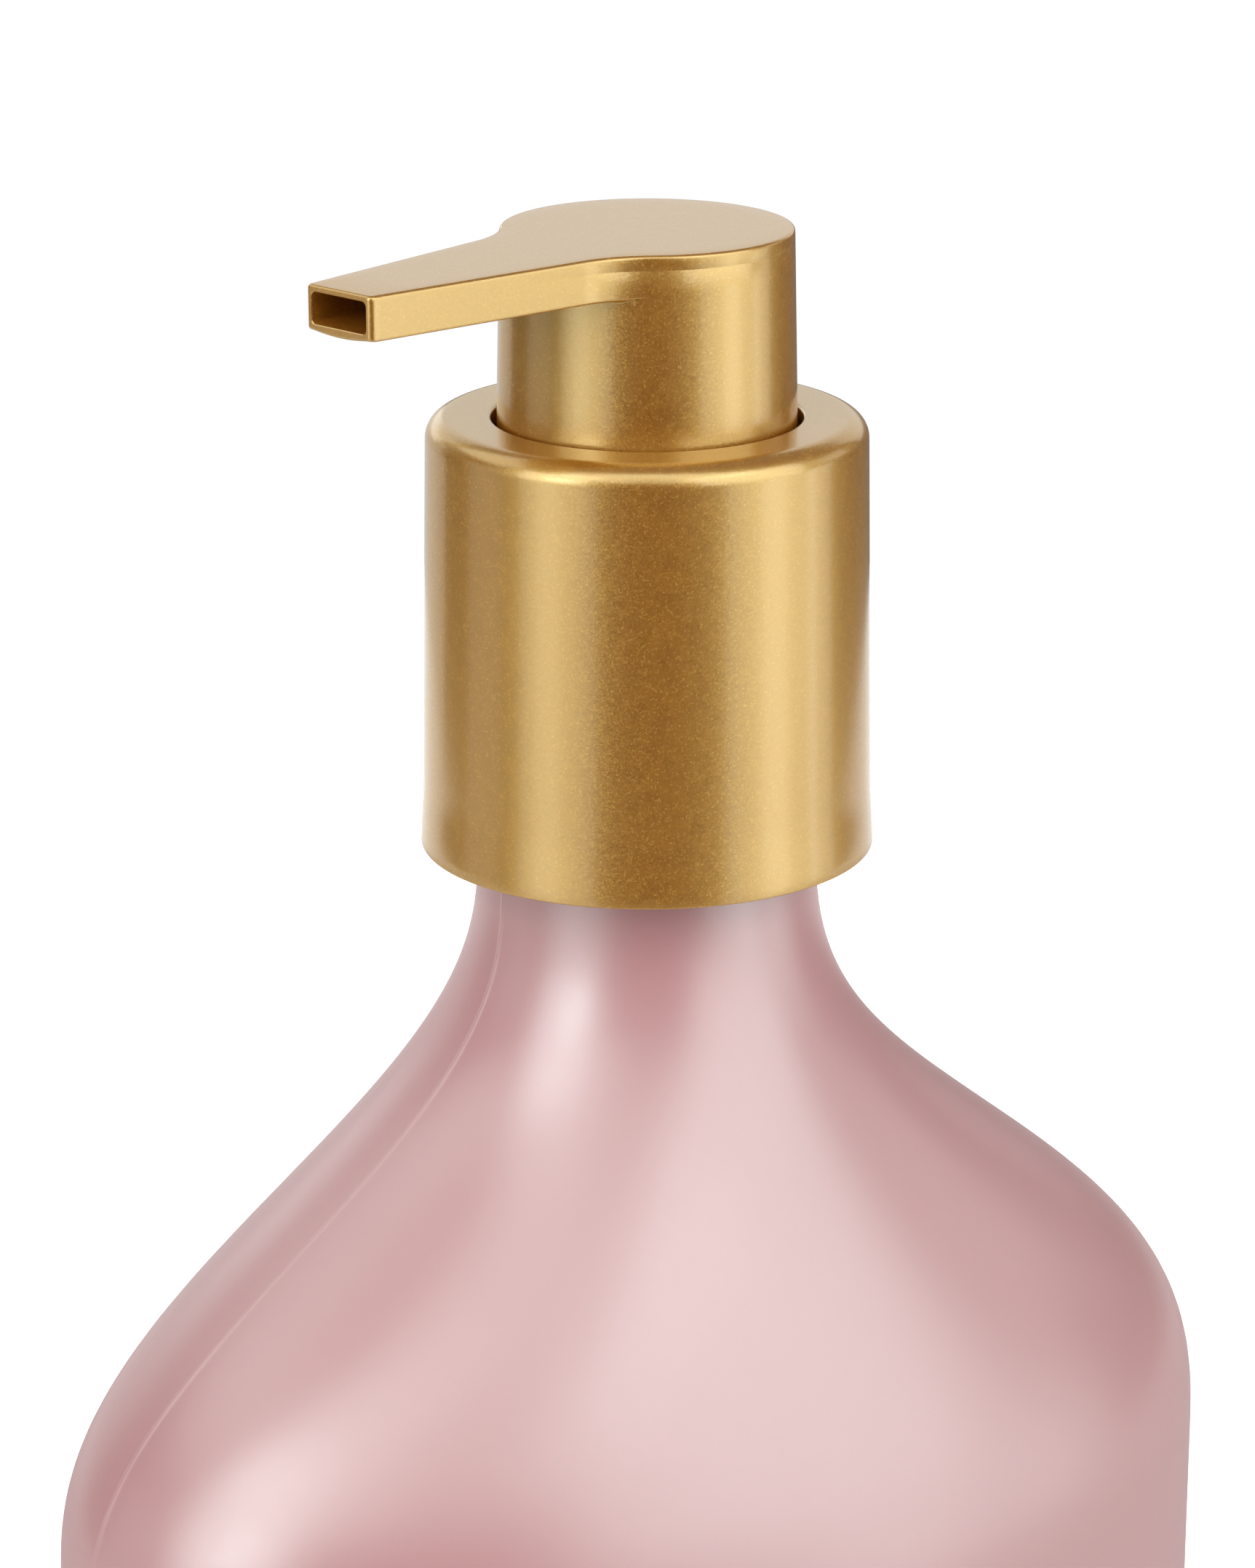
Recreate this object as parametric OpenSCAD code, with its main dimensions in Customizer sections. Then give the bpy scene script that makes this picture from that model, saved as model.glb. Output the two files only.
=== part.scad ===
// Lotion pump dispenser: an oval flask bottle with a round threaded neck,
// a tall smooth collar and a press-down pump head with a flat spout.
// Origin at the centre of the base, +Z up, X along the bottle's long axis.

/* [Bottle] */
// Width of the bottle along its long axis
bottle_w = 95; // [90:1:110]
// Depth of the bottle across its short axis
bottle_d = 60; // [54:1:66]
// Height from the base to the lower edge of the collar
collar_z = 138; // [130:1:160]
// Height of the sloping shoulder between the neck and the straight body
shoulder_h = 51.4; // [40:0.2:60]
// Wall thickness of the bottle body
bottle_wall = 1.4; // [1:0.1:2]
// Radius of the rounded edge between the base and the sides
base_edge_r = 6; // [3:0.5:8]
// Outer radius of the round neck, without its thread
neck_r = 12.4; // [12.2:0.1:12.5]
// Radius of the hole through the neck
neck_bore_r = 10.8; // [10:0.1:11]

/* [Collar and closure] */
// Radius of the collar at its lower edge
collar_r = 16.5; // [16.3:0.1:17.5]
// Radius of the collar just below its rounded top edge
collar_top_r = 15.85; // [15.8:0.05:16.2]
// Height of the collar
collar_h = 31.7; // [31:0.1:34]
// Radius of the hole that the head slides through
collar_hole_r = 11.12; // [11.1:0.01:11.5]
// Crest radius of the thread on the bottle neck
thread_r = 13.4; // [13.2:0.1:13.5]
// Rise of the thread in one turn
thread_pitch = 4.233; // [4.233, 3.175]

/* [Pump head] */
// Radius of the head at its flat top
head_r = 10.43; // [10:0.01:10.5]
// Height of the head's top above the collar's lower edge
head_top = 45.26; // [45:0.01:47]
// Distance from the pump's axis to the end face of the spout
spout_reach = 29.8; // [24:0.1:36]
// Width of the spout's end face
spout_tip_w = 6.27; // [5.5:0.01:7]
// Thickness of the flat spout and of the head's top
spout_t = 3.09; // [3:0.01:3.5]
// Direction that the spout points, counter-clockwise from +X seen from above
spout_yaw = 193; // [0:1:359]

/* [Pump engine] */
// Distance that the head travels when it is pressed
stroke = 9.5; // [6:0.1:9.5]
// Bore radius of the pump cylinder
cylinder_r = 7; // [6.8:0.1:7]
// Outer radius of the stem
stem_r = 4; // [3.8:0.1:4]
// Outer radius of the dip tube
dip_tube_r = 3; // [2.5:0.1:3]
// Radius of the two valve balls
ball_r = 2; // [1.9:0.05:2]
// Wire diameter of the return spring
spring_wire = 1; // [0.8:0.1:1.1]
// Number of turns in the return spring
spring_turns = 9; // [7:1:10]

/* [Hidden] */
$fn = 96;

// clearances
run_gap = 0.06;      // shaft in its hole
seat_gap = 0.05;     // flat faces that part company when a joint moves
free_gap = 0.3;      // curved faces that never touch

// bottle
oval_steps = 72;
shoulder_steps = 20;
edge_steps = 4;
neck_drop = 0.5;                       // neck that shows below the collar
shoulder_top = collar_z - neck_drop;
foot_w = 4;                            // flat ring that the bottle stands on
foot_lift = 1.4;                       // hollow inside the standing ring
neck_top = collar_z + 15;
neck_rim_r = 0.4;

// thread, shared by the neck and the closure
thread_turns = 1.25;
thread_root_w = 1.7;
thread_crest_w = 0.9;
thread_embed = 0.5;                    // depth of the ridge's root inside its wall
thread_start = 20;                     // direction in which both threads begin
thread_z = collar_z + 7.2;             // lower end of the neck's thread
closure_bore_r = thread_r + free_gap;
closure_thread_r = neck_r + free_gap;
closure_thread_z = thread_z - thread_pitch / 2;

// stack of flat levels from the neck rim upwards
gasket_z = neck_top + seat_gap;
gasket_t = 1.15;
flange_z = gasket_z + gasket_t;
flange_t = 1.4;
flange_r = 12.4;
engine_top = flange_z + flange_t;
deck_z = engine_top + seat_gap;
deck_t = 1.5;
deck_hole_r = 8.6;
closure_r = 14.75;
closure_foot = collar_z + 0.6;

// chaplet, which snaps into the cylinder and guides the stem
chaplet_disc_r = deck_hole_r - free_gap;
chaplet_lip_z = deck_z + deck_t + 2 * seat_gap;
chaplet_lip_r = 9.25;
chaplet_lip_t = 0.9;
turret_r = 6.6;
turret_top = collar_z + 24;
wiper_r = 5.6;
wiper_t = 1.4;
chaplet_foot = collar_z + 10.6;

// plunger
piston_top = chaplet_foot - 0.15;
piston_h = 5;
piston_foot = piston_top - piston_h;
rod_r = 2.5;
rod_plug_r = 2.6;
rod_flange_t = 1.2;
rod_flange_r = 5.8;
rod_foot = piston_foot - seat_gap - rod_flange_t;
stem_foot = piston_top + seat_gap;
stem_top = collar_z + 41;
stem_bore_r = 2.3;
valve_throat_r = 1.2;
outlet_seat_z = stem_top - 4;
// centre height of a ball above the narrow end of its 45 degree seat
ball_rise = ball_r * sqrt(2) - valve_throat_r + 0.07;

// spring and lower end of the cylinder
spring_r = 5.2;
spring_len = 30;
spring_foot = rod_foot - spring_len;
cage_t = 1.2;
cage_foot = spring_foot - cage_t;
cylinder_wall = 1.2;
valve_chamber_r = 2.9;
valve_chamber_h = 6.5;
inlet_seat_z = cage_foot - valve_chamber_h;
socket_h = 12;
socket_top = inlet_seat_z - 3;
housing_foot = socket_top - socket_h;
dip_tube_foot = 5;

// head
head_foot = collar_z + 28.7;
head_foot_r = 10.79;
head_z = collar_z + head_top;
slab_z = head_z - spout_t;
skirt_bore_r = 9.6;
hub_r = 5.4;
hub_foot = turret_top + stroke + 0.6;
channel_w = 4.95;
channel_h = 1.91;
channel_corner_r = 0.5;
head_throat_r = 1.6;
spout_taper = 6.8;                     // degrees between one side and the axis
spout_fillet_r = 8;

// ---- shared shapes ----

function smooth(u) = u * u * (3 - 2 * u);
function smoother(u) = u * u * u * (10 + u * (6 * u - 15));

// half width, half depth and height of the body at fraction u down the shoulder
function shoulder_ring(u, inset) = [
    neck_r + (bottle_w / 2 - neck_r) * smoother(u) - inset,
    neck_r + (bottle_d / 2 - neck_r) * smooth(u) - inset,
    shoulder_top - shoulder_h * u
];

// oval ring of the straight body, drawn in by an amount
function body_ring(inset, z) = [bottle_w / 2 - inset, bottle_d / 2 - inset, z];

// rings of the rounded lower edge, from the foot up
function edge_rings(edge_r, inset, floor_z) = [
    for (i = [0 : edge_steps])
        let (a = 90 * i / edge_steps)
        body_ring(inset + edge_r * (1 - sin(a)), floor_z + edge_r * (1 - cos(a)))
];

function shoulder_rings_up(inset) = [
    for (i = [shoulder_steps : -1 : 0]) shoulder_ring(i / shoulder_steps, inset)
];

function reversed(list) = [for (i = [len(list) - 1 : -1 : 0]) list[i]];

// closed skin through a stack of oval rings, flat at both ends
module oval_skin(rings) {
    n = oval_steps;
    count = len(rings);
    points = [
        for (ring = rings, j = [0 : n - 1])
            [ring[0] * cos(360 * j / n), ring[1] * sin(360 * j / n), ring[2]]
    ];
    sides = [
        for (i = [0 : count - 2], j = [0 : n - 1], half = [0, 1])
            let (k = (j + 1) % n)
            half == 0
                ? [i * n + j, (i + 1) * n + j, (i + 1) * n + k]
                : [i * n + j, (i + 1) * n + k, i * n + k]
    ];
    first_end = [for (j = [0 : n - 1]) j];
    last_end = [for (j = [n - 1 : -1 : 0]) (count - 1) * n + j];
    polyhedron(points, concat([first_end], sides, [last_end]), convexity = 6);
}

// thread ridge that climbs counter-clockwise; it points inwards when the
// crest radius is the smaller one, and fades into its wall at both ends
module thread_ridge(root_r, crest_r, z, turns, start) {
    steps = 40 * turns;
    fade = 6;
    outward = crest_r > root_r;
    points = [
        for (i = [0 : steps])
            let (
                a = start + 360 * turns * i / steps,
                mid = z + thread_pitch * turns * i / steps,
                grow = min(1, 0.1 + i / fade, 0.1 + (steps - i) / fade),
                top_r = root_r + (crest_r - root_r) * grow
            )
            for (p = [[root_r, -thread_root_w / 2], [top_r, -thread_crest_w / 2],
                      [top_r, thread_crest_w / 2], [root_r, thread_root_w / 2]])
                [p[0] * cos(a), p[0] * sin(a), mid + p[1]]
    ];
    sides = [
        for (i = [0 : steps - 1], j = [0 : 3], half = [0, 1])
            let (k = (j + 1) % 4)
            half == 0
                ? [4 * i + j, 4 * i + k, 4 * i + 4 + k]
                : [4 * i + j, 4 * i + 4 + k, 4 * i + 4 + j]
    ];
    ends = [[3, 2, 1, 0], [for (j = [0 : 3]) 4 * steps + j]];
    faces = concat(sides, ends);
    polyhedron(points, outward ? faces : [for (f = faces) reversed(f)], convexity = 4);
}

module tube(outer_r, inner_r, z, h) {
    translate([0, 0, z])
        difference() {
            cylinder(r = outer_r, h = h);
            translate([0, 0, -1])
                cylinder(r = inner_r, h = h + 2);
        }
}

// rectangle with rounded corners, centred
module rounded_rect(w, h, r) {
    square([w - 2 * r, h], center = true);
    square([w, h - 2 * r], center = true);
    for (x = [-1, 1], y = [-1, 1])
        translate([x * (w / 2 - r), y * (h / 2 - r)])
            circle(r = r);
}

// ---- bottle ----

// round ring of the neck
function neck_ring(r, z) = [r, r, z];

module bottle() {
    outer = concat(
        [body_ring(base_edge_r + foot_w + foot_lift, foot_lift)],
        [body_ring(base_edge_r + foot_w, 0)],
        edge_rings(base_edge_r, 0, 0),
        shoulder_rings_up(0)
    );
    rim = [
        neck_ring(neck_r, neck_top - neck_rim_r),
        neck_ring(neck_r - neck_rim_r, neck_top),
        neck_ring(neck_bore_r + neck_rim_r, neck_top),
        neck_ring(neck_bore_r, neck_top - neck_rim_r)
    ];
    inner_edge_r = base_edge_r - bottle_wall;
    inner_floor = foot_lift + bottle_wall;
    inner_shoulder = [
        for (i = [0 : shoulder_steps])
            let (
                u = i / shoulder_steps,
                ring = shoulder_ring(u, 0),
                draw_in = (neck_r - neck_bore_r) * (1 - u) + bottle_wall * u
            )
            [ring[0] - draw_in, ring[1] - draw_in, ring[2]]
    ];
    inner = concat(inner_shoulder, reversed(edge_rings(inner_edge_r, bottle_wall, inner_floor)));
    color([0.84, 0.66, 0.65])
        union() {
            oval_skin(concat(outer, rim, inner));
            thread_ridge(neck_r - thread_embed, thread_r, thread_z, thread_turns, thread_start);
        }
}

// ---- closure ----

module collar_shell() {
    wall = 1.1;
    top = collar_z + collar_h;
    round_r = 1.6;
    lip_h = 3.2;
    lip_t = 0.9;
    foot_flare = 0.15;
    foot_flare_h = 0.8;
    inner_corner = 1;
    color([0.83, 0.68, 0.42])
        rotate_extrude()
            union() {
                difference() {
                    union() {
                        polygon([
                            [collar_hole_r, collar_z],
                            [collar_r, collar_z],
                            [collar_r - foot_flare, collar_z + foot_flare_h],
                            [collar_top_r, top - round_r],
                            [collar_top_r - round_r, top],
                            [collar_hole_r, top]
                        ]);
                        translate([collar_top_r - round_r, top - round_r])
                            intersection() {
                                circle(r = round_r);
                                square(round_r);
                            }
                    }
                    // hollow inside, open at the foot
                    polygon([
                        [0, collar_z - 1],
                        [collar_r - wall, collar_z - 1],
                        [collar_r - wall - foot_flare, collar_z + foot_flare_h],
                        [collar_top_r - wall, top - round_r],
                        [collar_top_r - wall - inner_corner, top - wall],
                        [0, top - wall]
                    ]);
                }
                // lip round the hole that guides the head
                translate([collar_hole_r, top - lip_h])
                    square([lip_t, lip_h]);
            }
}

module closure_cap() {
    rib_count = 36;
    rib_out = 0.3;
    rib_root = 0.2;
    rib_w = 0.8;
    rib_h = 14;
    overlap = 0.1;
    color([0.93, 0.93, 0.91])
        union() {
            tube(closure_r, closure_bore_r, closure_foot, deck_z - closure_foot + overlap);
            tube(closure_r, deck_hole_r, deck_z, deck_t);
            thread_ridge(closure_bore_r + thread_embed, closure_thread_r,
                         closure_thread_z, thread_turns, thread_start);
            // grip ribs under the collar
            for (i = [0 : rib_count - 1])
                rotate(360 * i / rib_count)
                    translate([closure_r - rib_root, -rib_w / 2, closure_foot])
                        cube([rib_root + rib_out, rib_w, rib_h]);
        }
}

module neck_gasket() {
    color([0.95, 0.95, 0.93])
        tube(neck_r, cylinder_r + cylinder_wall, gasket_z, gasket_t);
}

// ---- pump engine ----

module pump_housing() {
    outer_r = cylinder_r + cylinder_wall;
    tail_r = dip_tube_r + 1.1;
    chamber_out_r = valve_chamber_r + 1.3;
    chamber_cone_h = 3.5;
    tail_cone_h = 1;
    vent_r = 0.6;
    vent_z = collar_z + 8;
    color([0.9, 0.91, 0.92])
        difference() {
            rotate_extrude()
                polygon([
                    [cylinder_r, engine_top],
                    [flange_r, engine_top],
                    [flange_r, flange_z],
                    [outer_r, flange_z],
                    [outer_r, cage_foot],
                    [chamber_out_r, cage_foot - chamber_cone_h],
                    [chamber_out_r, inlet_seat_z],
                    [tail_r, inlet_seat_z - tail_cone_h],
                    [tail_r, housing_foot],
                    [dip_tube_r, housing_foot],
                    [dip_tube_r, socket_top],
                    [valve_throat_r, socket_top],
                    [valve_throat_r, inlet_seat_z],
                    [valve_chamber_r, inlet_seat_z + valve_chamber_r - valve_throat_r],
                    [valve_chamber_r, cage_foot],
                    [cylinder_r, cage_foot]
                ]);
            // air vent near the top of the cylinder
            translate([0, 0, vent_z])
                rotate([0, 90, 0])
                    cylinder(r = vent_r, h = 2 * outer_r);
        }
}

module chaplet() {
    groove_in = stem_r + 1.2;
    groove_out = cylinder_r - 0.9;
    groove_top = engine_top - 1.5;
    color([0.93, 0.93, 0.91])
        rotate_extrude()
            polygon([
                [stem_r + run_gap, chaplet_foot],
                [groove_in, chaplet_foot],
                [groove_in, groove_top],
                [groove_out, groove_top],
                [groove_out, chaplet_foot],
                [cylinder_r, chaplet_foot],
                [cylinder_r, engine_top],
                [chaplet_disc_r, engine_top],
                [chaplet_disc_r, chaplet_lip_z],
                [chaplet_lip_r, chaplet_lip_z],
                [chaplet_lip_r, chaplet_lip_z + chaplet_lip_t],
                [turret_r, chaplet_lip_z + chaplet_lip_t],
                [turret_r, turret_top],
                [wiper_r, turret_top],
                [wiper_r, turret_top - wiper_t],
                [stem_r + run_gap, turret_top - wiper_t]
            ]);
}

module stem_wiper() {
    lip = 0.5;
    color([0.96, 0.96, 0.95])
        rotate_extrude()
            polygon([
                [stem_r + run_gap, turret_top - wiper_t],
                [wiper_r, turret_top - wiper_t],
                [wiper_r, turret_top - 0.2],
                [stem_r + 2 * lip, turret_top - 0.2],
                [stem_r + 2 * lip, turret_top - wiper_t + lip],
                [stem_r + lip, turret_top - wiper_t + lip],
                [stem_r + lip, turret_top - 0.1],
                [stem_r + run_gap, turret_top - 0.1]
            ]);
}

module dip_tube() {
    wall = 0.9;
    top = socket_top - 0.5;
    cut_tilt = 30;
    cut_block = 20;
    color([0.95, 0.96, 0.96])
        difference() {
            tube(dip_tube_r, dip_tube_r - wall, dip_tube_foot, top - dip_tube_foot);
            // slanted lower end, so the tube can't seal itself on the floor
            translate([-dip_tube_r, 0, dip_tube_foot])
                rotate([0, -cut_tilt, 0])
                    translate([-cut_block / 4, -cut_block / 2, -cut_block])
                        cube([1.5 * cut_block, cut_block, cut_block]);
        }
}

module inlet_ball() {
    color([0.8, 0.81, 0.83])
        translate([0, 0, inlet_seat_z + ball_rise])
            sphere(r = ball_r);
}

module ball_cage() {
    ring_in = 1.5;
    finger_h = 2.2;
    finger_in = 1.6;
    spring_pilot_in = 3;
    spring_pilot_h = 1.6;
    slot_w = 1.2;
    slot_len = 6.8;
    color([0.93, 0.93, 0.91])
        difference() {
            union() {
                tube(cylinder_r, ring_in, cage_foot, cage_t);
                tube(valve_chamber_r, finger_in, cage_foot - finger_h, finger_h);
                tube(spring_r - spring_wire / 2 - free_gap, spring_pilot_in, spring_foot, spring_pilot_h);
            }
            // cross slots let the liquid past when the ball is lifted
            for (a = [0, 90])
                rotate(a)
                    translate([-slot_len / 2, -slot_w / 2, cage_foot - finger_h - 1])
                        cube([slot_len, slot_w, finger_h + cage_t + 2]);
        }
}

module return_spring() {
    sides = 8;
    per_turn = 18;
    steps = spring_turns * per_turn;
    r = spring_wire / 2;
    rise = spring_len - spring_wire - 0.1;
    // the end turns lie close, the turns between them are open
    function climb(u) = let (v = min(1, max(0, (u - 0.1) / 0.8))) 0.06 * u + 0.94 * v;
    points = [
        for (i = [0 : steps], j = [0 : sides - 1])
            let (
                a = 360 * i / per_turn,
                b = 360 * j / sides,
                ring_r = spring_r + r * cos(b)
            )
            [ring_r * cos(a), ring_r * sin(a),
             spring_foot + 0.05 + r + rise * climb(i / steps) + r * sin(b)]
    ];
    skin = [
        for (i = [0 : steps - 1], j = [0 : sides - 1], half = [0, 1])
            let (k = (j + 1) % sides)
            half == 0
                ? [sides * i + j, sides * i + k, sides * i + sides + k]
                : [sides * i + j, sides * i + sides + k, sides * i + sides + j]
    ];
    ends = [
        [for (j = [sides - 1 : -1 : 0]) j],
        [for (j = [0 : sides - 1]) sides * steps + j]
    ];
    color([0.72, 0.73, 0.75])
        polyhedron(points, concat(skin, ends), convexity = 10);
}

// ---- plunger ----

module piston() {
    outer = cylinder_r - seat_gap;
    hub = 3.9;
    lip_in = 6.1;
    web_z = piston_foot + 1.9;
    web_t = 1.3;
    bead = 0.25;
    bead_h = 0.7;
    top = piston_top - 0.3;
    foot = piston_foot + 0.3;
    color([0.97, 0.97, 0.96])
        rotate_extrude()
            polygon([
                [rod_r + run_gap, piston_foot],
                [hub, piston_foot],
                [hub, web_z],
                [lip_in, web_z],
                [lip_in, foot],
                [outer, foot],
                [outer, foot + bead_h],
                [outer - bead, foot + 2 * bead_h],
                [outer - bead, top - 2 * bead_h],
                [outer, top - bead_h],
                [outer, top],
                [lip_in, top],
                [lip_in, web_z + web_t],
                [hub, web_z + web_t],
                [hub, piston_top],
                [rod_r + run_gap, piston_top]
            ]);
}

module piston_rod() {
    bore_r = 1.3;
    plug_h = 7.5;
    pilot_r = 4.2;
    pilot_h = 2.5;
    color([0.93, 0.93, 0.91])
        rotate_extrude()
            polygon([
                [bore_r, rod_foot - pilot_h],
                [pilot_r - 0.4, rod_foot - pilot_h],
                [pilot_r, rod_foot - pilot_h + 0.4],
                [pilot_r, rod_foot],
                [rod_flange_r, rod_foot],
                [rod_flange_r, rod_foot + rod_flange_t],
                [rod_r, rod_foot + rod_flange_t],
                [rod_r, stem_foot],
                [rod_plug_r, stem_foot],
                [rod_plug_r, stem_foot + plug_h],
                [bore_r, stem_foot + plug_h]
            ]);
}

module stem() {
    plug_room = 8;
    throat_h = 0.8;
    color([0.95, 0.95, 0.93])
        rotate_extrude()
            polygon([
                [rod_plug_r, stem_foot],
                [stem_r, stem_foot],
                [stem_r, stem_top],
                [stem_bore_r, stem_top],
                [stem_bore_r, outlet_seat_z + stem_bore_r - valve_throat_r],
                [valve_throat_r, outlet_seat_z],
                [valve_throat_r, outlet_seat_z - throat_h],
                [stem_bore_r, outlet_seat_z - throat_h - 1],
                [stem_bore_r, stem_foot + plug_room],
                [rod_plug_r, stem_foot + plug_room]
            ]);
}

module outlet_ball() {
    color([0.8, 0.81, 0.83])
        translate([0, 0, outlet_seat_z + ball_rise])
            sphere(r = ball_r);
}

// plan of the head's flat top with its spout along +X
module head_plan() {
    half = spout_tip_w / 2;
    normal = [sin(spout_taper), cos(spout_taper)];
    along = [cos(spout_taper), -sin(spout_taper)];
    // distance of the spout's side from the axis, and the centre of the fillet
    side = spout_reach * normal[0] + half * normal[1];
    slide = sqrt(pow(head_r + spout_fillet_r, 2) - pow(side + spout_fillet_r, 2));
    centre = (side + spout_fillet_r) * normal + slide * along;
    on_side = centre - spout_fillet_r * normal;
    on_head = centre * head_r / (head_r + spout_fillet_r);
    circle(r = head_r);
    for (flip = [0, 1])
        mirror([0, flip])
            difference() {
                polygon([[0, 0], [spout_reach, 0], [spout_reach, half],
                         on_side, centre, on_head]);
                translate(centre)
                    circle(r = spout_fillet_r);
            }
}

module actuator_head() {
    throat_top = slab_z + spout_t / 2;
    bypass_w = 0.9;
    bypass_len = 4.8;
    color([0.83, 0.68, 0.42])
        rotate(spout_yaw)
            difference() {
                union() {
                    // skirt, a little wider at its foot
                    translate([0, 0, head_foot])
                        cylinder(r1 = head_foot_r, r2 = head_r, h = head_z - head_foot);
                    translate([0, 0, slab_z])
                        linear_extrude(spout_t)
                            head_plan();
                }
                // hollow skirt round the hub
                difference() {
                    translate([0, 0, head_foot - 1])
                        cylinder(r = skirt_bore_r, h = slab_z - head_foot + 1);
                    translate([0, 0, hub_foot])
                        cylinder(r = hub_r, h = slab_z - hub_foot + 1);
                }
                // socket for the stem, throat above it and the spout's channel
                translate([0, 0, hub_foot - 1])
                    cylinder(r = stem_r, h = stem_top - hub_foot + 1.05);
                translate([0, 0, stem_top - 1])
                    cylinder(r = head_throat_r, h = throat_top - stem_top + 1);
                for (a = [45, 135])
                    rotate(a)
                        translate([-bypass_len / 2, -bypass_w / 2, stem_top])
                            cube([bypass_len, bypass_w, throat_top - stem_top]);
                translate([-head_throat_r, 0, throat_top])
                    rotate([90, 0, 90])
                        linear_extrude(spout_reach + head_throat_r + 1)
                            rounded_rect(channel_w, channel_h, channel_corner_r);
            }
}

bottle();
collar_shell();
closure_cap();
neck_gasket();
pump_housing();
chaplet();
stem_wiper();
dip_tube();
inlet_ball();
ball_cage();
return_spring();
piston();
piston_rod();
stem();
outlet_ball();
actuator_head();
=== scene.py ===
"""Looks for the lotion pump bottle: skins, materials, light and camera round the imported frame.

Named lengths are in millimetres, as on a drawing, and the meshes are made in metres.
"""

import math

import bmesh
import bpy
import numpy as np
from mathutils import Matrix, Vector


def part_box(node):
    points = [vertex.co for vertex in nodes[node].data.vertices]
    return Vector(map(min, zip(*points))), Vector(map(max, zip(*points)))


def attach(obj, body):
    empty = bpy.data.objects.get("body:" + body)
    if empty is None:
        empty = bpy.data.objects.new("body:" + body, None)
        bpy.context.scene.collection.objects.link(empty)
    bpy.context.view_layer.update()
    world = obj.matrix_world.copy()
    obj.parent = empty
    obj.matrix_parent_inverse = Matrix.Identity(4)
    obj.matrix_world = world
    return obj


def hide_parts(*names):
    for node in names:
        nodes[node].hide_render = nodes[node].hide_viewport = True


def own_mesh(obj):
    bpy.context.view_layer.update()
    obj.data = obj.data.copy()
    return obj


MM = 0.001

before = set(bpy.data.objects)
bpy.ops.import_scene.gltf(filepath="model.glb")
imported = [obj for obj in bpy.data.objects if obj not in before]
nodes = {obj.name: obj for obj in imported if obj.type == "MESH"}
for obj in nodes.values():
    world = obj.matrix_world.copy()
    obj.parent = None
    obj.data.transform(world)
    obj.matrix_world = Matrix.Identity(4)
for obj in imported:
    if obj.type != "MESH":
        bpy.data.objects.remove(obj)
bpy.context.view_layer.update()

# ---------------------------------------------------------------- sizes from the frame
bottle_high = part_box("bottle")[1]
collar_low, collar_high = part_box("collar_shell")
head_low, head_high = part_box("actuator_head")
stem_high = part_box("stem")[1]
spring_low, spring_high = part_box("return_spring")

HALF_W = bottle_high.x / MM
HALF_D = bottle_high.y / MM
NECK_TOP = bottle_high.z / MM
COLLAR_Z = collar_low.z / MM
COLLAR_TOP = collar_high.z / MM
COLLAR_R = collar_high.x / MM
HEAD_TOP = head_high.z / MM
HEAD_FOOT = head_low.z / MM

# bottle
NECK_R = 12.4
NECK_BORE_R = 10.8
NECK_DROP = 0.5
SHOULDER_H = 51.4
WALL = 1.4
BASE_EDGE_R = 6.0
FOOT_W = 4.0
FOOT_STEP_W = 2.0
FOOT_LIFT = 1.4
SHOULDER_TOP = COLLAR_Z - NECK_DROP
RIM_R = 0.5
SEAM_PROUD = 0.09
SEAM_W = 0.2

# thread on the neck
THREAD_PITCH = 4.233
THREAD_CREST_R = 13.4
THREAD_ROOT_R = NECK_R - 0.5
THREAD_TURNS = 1.25
THREAD_FROM = COLLAR_Z + 7.2
THREAD_START = math.radians(20)

# collar
COLLAR_TOP_R = 15.85
COLLAR_ROUND_R = 1.6
COLLAR_WALL = 1.1
COLLAR_FOOT_R = 0.09
FLARE = 0.15
FLARE_H = 5.0
HOLE_R = 11.12
HOLE_EDGE_R = 0.28
LIP_W = 0.9
LIP_H = 3.2

# head
HEAD_R = 10.43
HEAD_FOOT_R = 10.79
SPOUT_REACH = 29.8
SPOUT_TIP_W = 6.27
SPOUT_T = 3.09
SPOUT_TAPER = math.radians(6.8)
SPOUT_FILLET_R = 8.0
SPOUT_YAW = math.radians(193)
SLAB_Z = HEAD_TOP - SPOUT_T
SKIRT_BORE_R = 9.6
CHANNEL_W = 4.95
CHANNEL_H = 1.91
CHANNEL_MIDDLE = SLAB_Z + SPOUT_T / 2
TIP_CORNER_R = 0.45
TOP_BEVEL = 0.27
LOWER_ROUND = 0.22
JOIN_FILLET = 0.35
HUB_R = 5.4
HUB_FOOT = COLLAR_Z + 34.1
THROAT_R = 1.6
HEAD_SHARP = 34        # degrees; edges where faces meet at more than this stay sharp
STEM_R = stem_high.x / MM
STEM_TOP = stem_high.z / MM

# pump
SPRING_WIRE_R = 0.5


def smooth(u):
    """Eases from 0 to 1 with flat ends."""
    return u * u * (3 - 2 * u)


def smoother(u):
    """Eases from 0 to 1 with ends that are flat and uncurved."""
    return u * u * u * (10 + u * (6 * u - 15))


# ---------------------------------------------------------------- mesh helpers
def new_piece(name, points, faces, smooth_angle=40):
    """A mesh object from points in millimetres, shaded smooth up to an angle."""
    mesh = bpy.data.meshes.new(name)
    mesh.from_pydata([tuple(c * MM for c in p) for p in points], [], faces)
    mesh.validate()
    piece = bpy.data.objects.new(name, mesh)
    bpy.context.scene.collection.objects.link(piece)
    shade(piece, smooth_angle)
    return piece


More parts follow.
